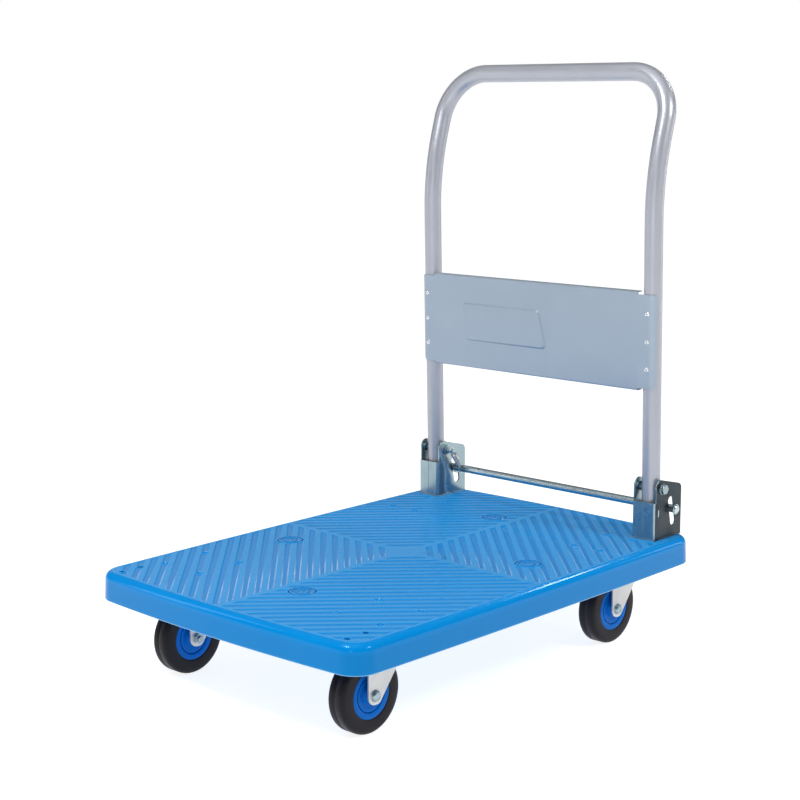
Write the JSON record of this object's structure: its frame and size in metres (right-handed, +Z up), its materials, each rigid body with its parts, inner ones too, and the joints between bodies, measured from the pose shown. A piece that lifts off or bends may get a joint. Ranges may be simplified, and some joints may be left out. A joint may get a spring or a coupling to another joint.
{
  "type": "folding platform cart",
  "caption": "Platform cart with a moulded ribbed deck, rubber-tyred casters and a tube handle with a back panel that folds flat when a foot bar is pressed.",
  "frame": {"origin": "on the floor under the middle of the deck", "axes": "+X across the deck, +Y along the deck towards the handle, +Z up; handle upright, front wheels trailing forwards at rest"},
  "size_m": [0.612, 0.878, 1.0011],
  "materials": {
    "deck_plastic": "glossy moulded plastic, saturated blue",
    "hub_plastic": "semi-gloss moulded plastic, blue",
    "tyre_rubber": "matt black rubber",
    "tube_paint": "smooth silver-grey powder coat",
    "panel_paint": "smooth blue-grey powder coat",
    "zinc": "bright zinc plating with a bluish sheen",
    "zinc_bar": "drawn bar, zinc plated",
    "fork_zinc": "pressed sheet, dull zinc plated",
    "rivet_metal": "bright blind rivets",
    "spring_steel": "plated spring wire",
    "black_plastic": "matt black plastic"
  },
  "bodies": {
    "root": {"deck": "deck_plastic", "deck_plugs": "deck_plastic", "hinge_bracket_left": "zinc", "hinge_bracket_right": "zinc", "bracket_bolts": "zinc", "bracket_washers": "zinc", "bracket_nuts": "zinc", "pivot_bolts": "zinc", "pivot_washers": "zinc", "pivot_nuts": "zinc", "spring_left": "spring_steel", "caster_screws": "zinc", "caster_washers": "zinc", "swivel_balls": "zinc", "front_left_plate": "zinc", "front_left_kingpin": "zinc", "front_left_dust_cup": "zinc", "front_right_plate": "zinc", "front_right_kingpin": "zinc", "front_right_dust_cup": "zinc", "rear_left_fork": "fork_zinc", "rear_left_axle": "zinc", "rear_left_axle_nut": "zinc", "rear_left_sleeve": "zinc", "rear_right_fork": "fork_zinc", "rear_right_axle": "zinc", "rear_right_axle_nut": "zinc", "rear_right_sleeve": "zinc"},
    "handle": {"handle_tube": "tube_paint", "back_panel": "panel_paint", "panel_rivets": "rivet_metal", "pivot_sleeves": "zinc", "tube_end_plugs": "black_plastic"},
    "release_bar": {"release_bar": "zinc_bar", "bar_collars": "zinc", "bar_end_caps": "zinc"},
    "front_left_swivel": {"front_left_fork": "fork_zinc", "front_left_axle": "zinc", "front_left_axle_nut": "zinc", "front_left_sleeve": "zinc"},
    "front_left_wheel": {"front_left_hub": "hub_plastic", "front_left_tyre": "tyre_rubber"},
    "front_right_swivel": {"front_right_fork": "fork_zinc", "front_right_axle": "zinc", "front_right_axle_nut": "zinc", "front_right_sleeve": "zinc"},
    "front_right_wheel": {"front_right_hub": "hub_plastic", "front_right_tyre": "tyre_rubber"},
    "rear_left_wheel": {"rear_left_hub": "hub_plastic", "rear_left_tyre": "tyre_rubber"},
    "rear_right_wheel": {"rear_right_hub": "hub_plastic", "rear_right_tyre": "tyre_rubber"}
  },
  "joints": [
    {"name": "handle_fold", "type": "hinge", "parent": "root", "child": "handle", "pos_m": [0, 0.359, 0.27], "axis": [1, 0, 0], "range_deg": [0, 96]},
    {"name": "release_bar_press", "type": "slide", "parent": "root", "child": "release_bar", "axis": [0, 0.2, -0.9798], "range_m": [0, 0.0225], "stiffness_N_per_m": 600, "springref_m": -0.02, "deforming": ["spring_left"]},
    {"name": "front_left_turn", "type": "hinge", "parent": "root", "child": "front_left_swivel", "pos_m": [-0.204, -0.28, 0.149], "axis": [0, 0, 1], "continuous": true},
    {"name": "front_left_roll", "type": "hinge", "parent": "front_left_swivel", "child": "front_left_wheel", "pos_m": [-0.204, -0.3145, 0.0625], "axis": [1, 0, 0], "continuous": true},
    {"name": "front_right_turn", "type": "hinge", "parent": "root", "child": "front_right_swivel", "pos_m": [0.204, -0.28, 0.149], "axis": [0, 0, 1], "continuous": true},
    {"name": "front_right_roll", "type": "hinge", "parent": "front_right_swivel", "child": "front_right_wheel", "pos_m": [0.204, -0.3145, 0.0625], "axis": [1, 0, 0], "continuous": true},
    {"name": "rear_left_roll", "type": "hinge", "parent": "root", "child": "rear_left_wheel", "pos_m": [-0.214, 0.2855, 0.0625], "axis": [1, 0, 0], "continuous": true},
    {"name": "rear_right_roll", "type": "hinge", "parent": "root", "child": "rear_right_wheel", "pos_m": [0.214, 0.2855, 0.0625], "axis": [1, 0, 0], "continuous": true}
  ]
}
